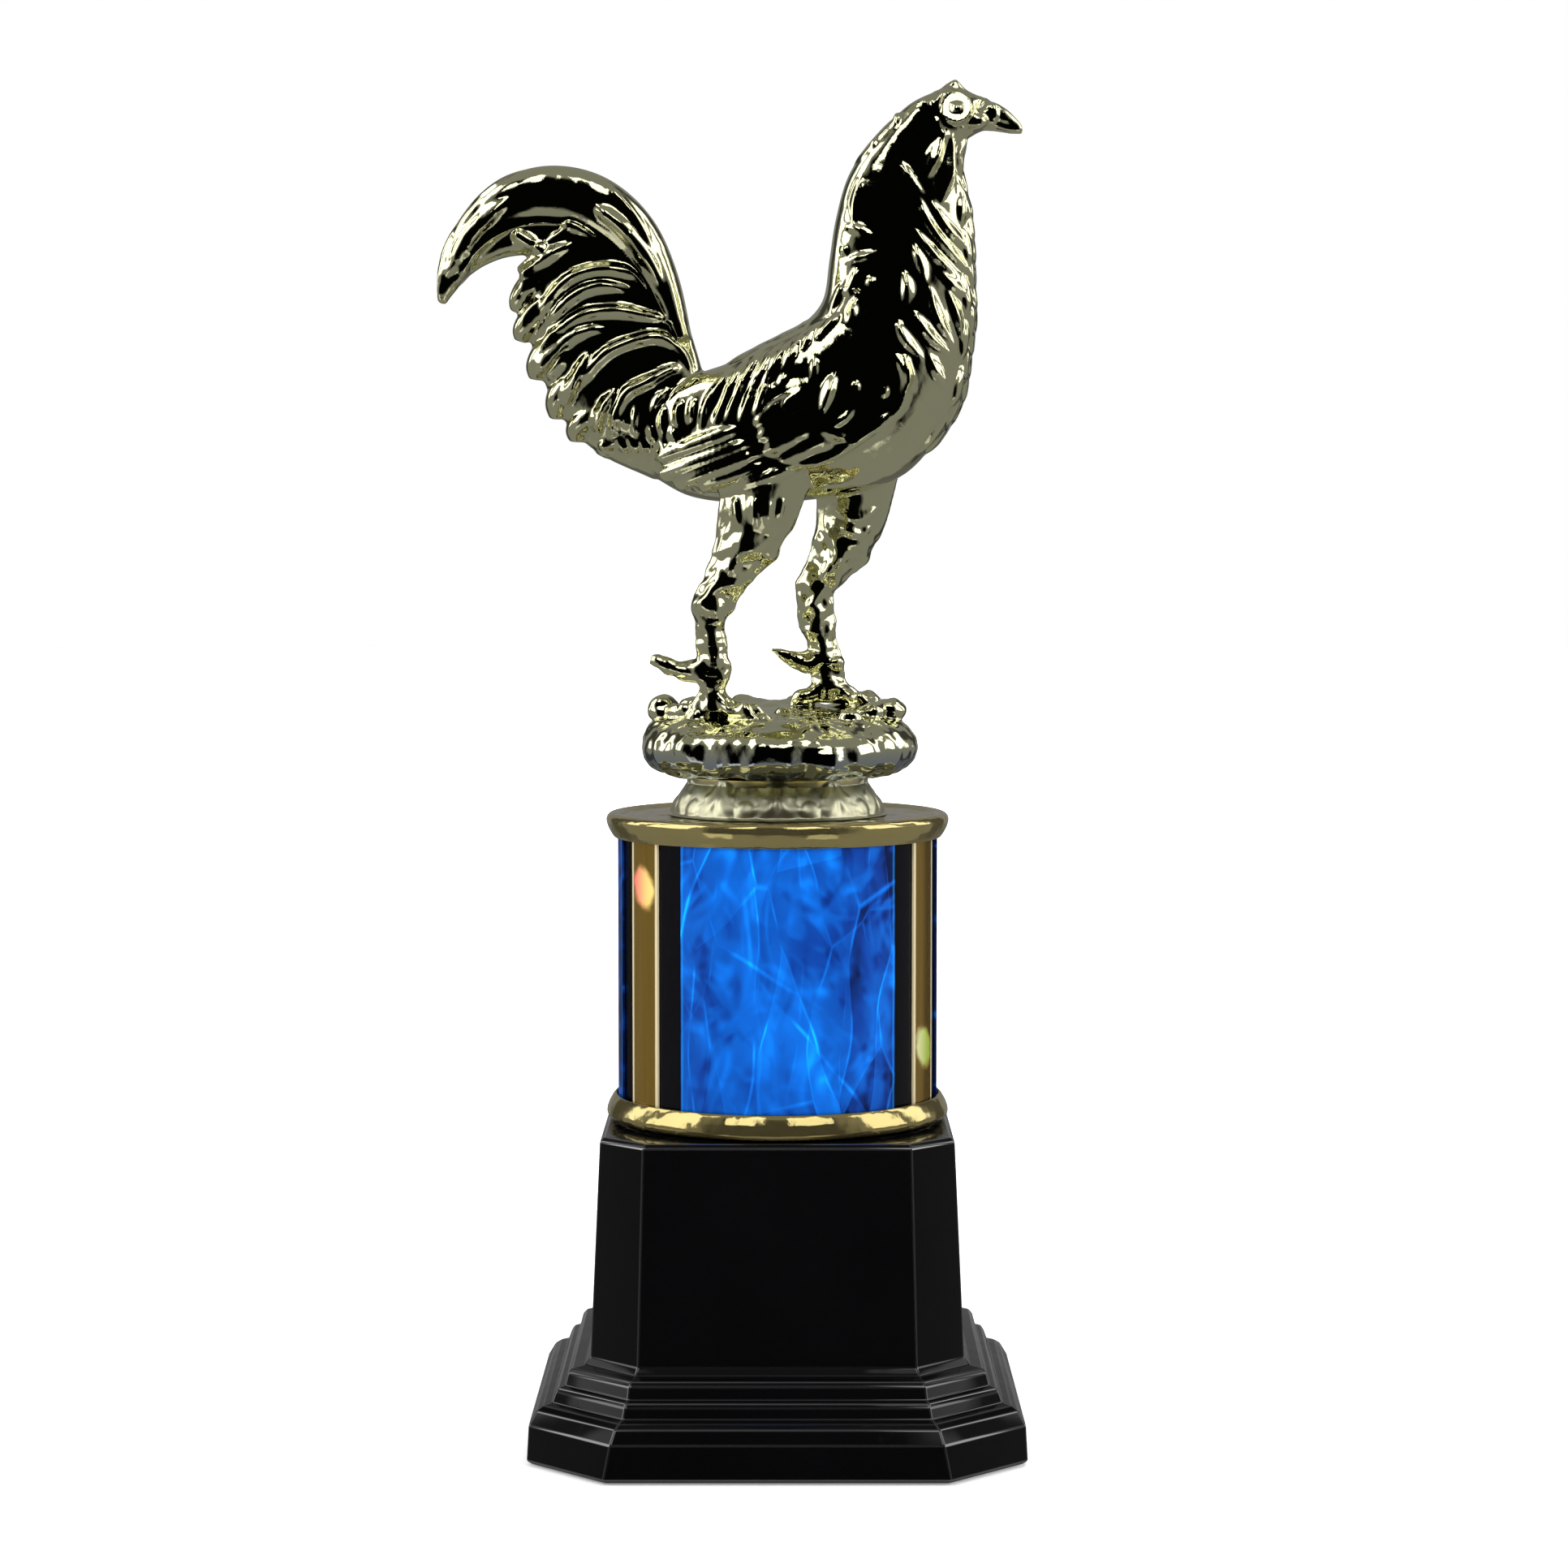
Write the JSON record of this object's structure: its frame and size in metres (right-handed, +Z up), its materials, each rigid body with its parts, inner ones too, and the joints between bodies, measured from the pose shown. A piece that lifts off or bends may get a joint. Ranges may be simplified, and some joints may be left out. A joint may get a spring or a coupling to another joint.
{
  "type": "column trophy",
  "caption": "Column trophy: a gilt rooster figure on a rock mound and riser, over a round column with inlaid foil panels between gilt collars, on a stepped black base.",
  "frame": {"origin": "centre of the base's underside, on the column's axis", "axes": "+Z up along the column and the threaded rod, +X the way the rooster faces, -Y towards the plain front of the base"},
  "size_m": [0.0924, 0.0774, 0.215],
  "materials": {
    "figure_gilt": "metallised plastic, pale gold mirror",
    "collar_gilt": "metallised plastic, deeper gold mirror",
    "gilt_foil": "mirror foil",
    "blue_foil": "clear film over crinkled pearl foil",
    "black_film": "gloss film",
    "black_gloss": "high gloss moulding",
    "felt": "felt",
    "cast_weight": "as cast",
    "zinc_steel": "zinc plated",
    "fibreboard": "pressed board"
  },
  "bodies": {
    "root": {"base_pad": "felt", "base_shell": "black_gloss", "base_weight": "cast_weight", "base_washer": "zinc_steel", "base_lock_washer": "zinc_steel", "base_nut": "zinc_steel", "threaded_rod": "zinc_steel", "lower_collar": "collar_gilt", "lower_plug": "fibreboard", "column_tube": "black_film", "blue_panel_1": "blue_foil", "blue_panel_2": "blue_foil", "blue_panel_3": "blue_foil", "gilt_strip_1": "gilt_foil", "gilt_strip_2": "gilt_foil", "gilt_strip_3": "gilt_foil", "upper_plug": "fibreboard", "top_collar": "collar_gilt", "riser": "figure_gilt", "insert_nut": "zinc_steel", "figure_right_half": "figure_gilt", "figure_left_half": "figure_gilt"}
  },
  "joints": []
}
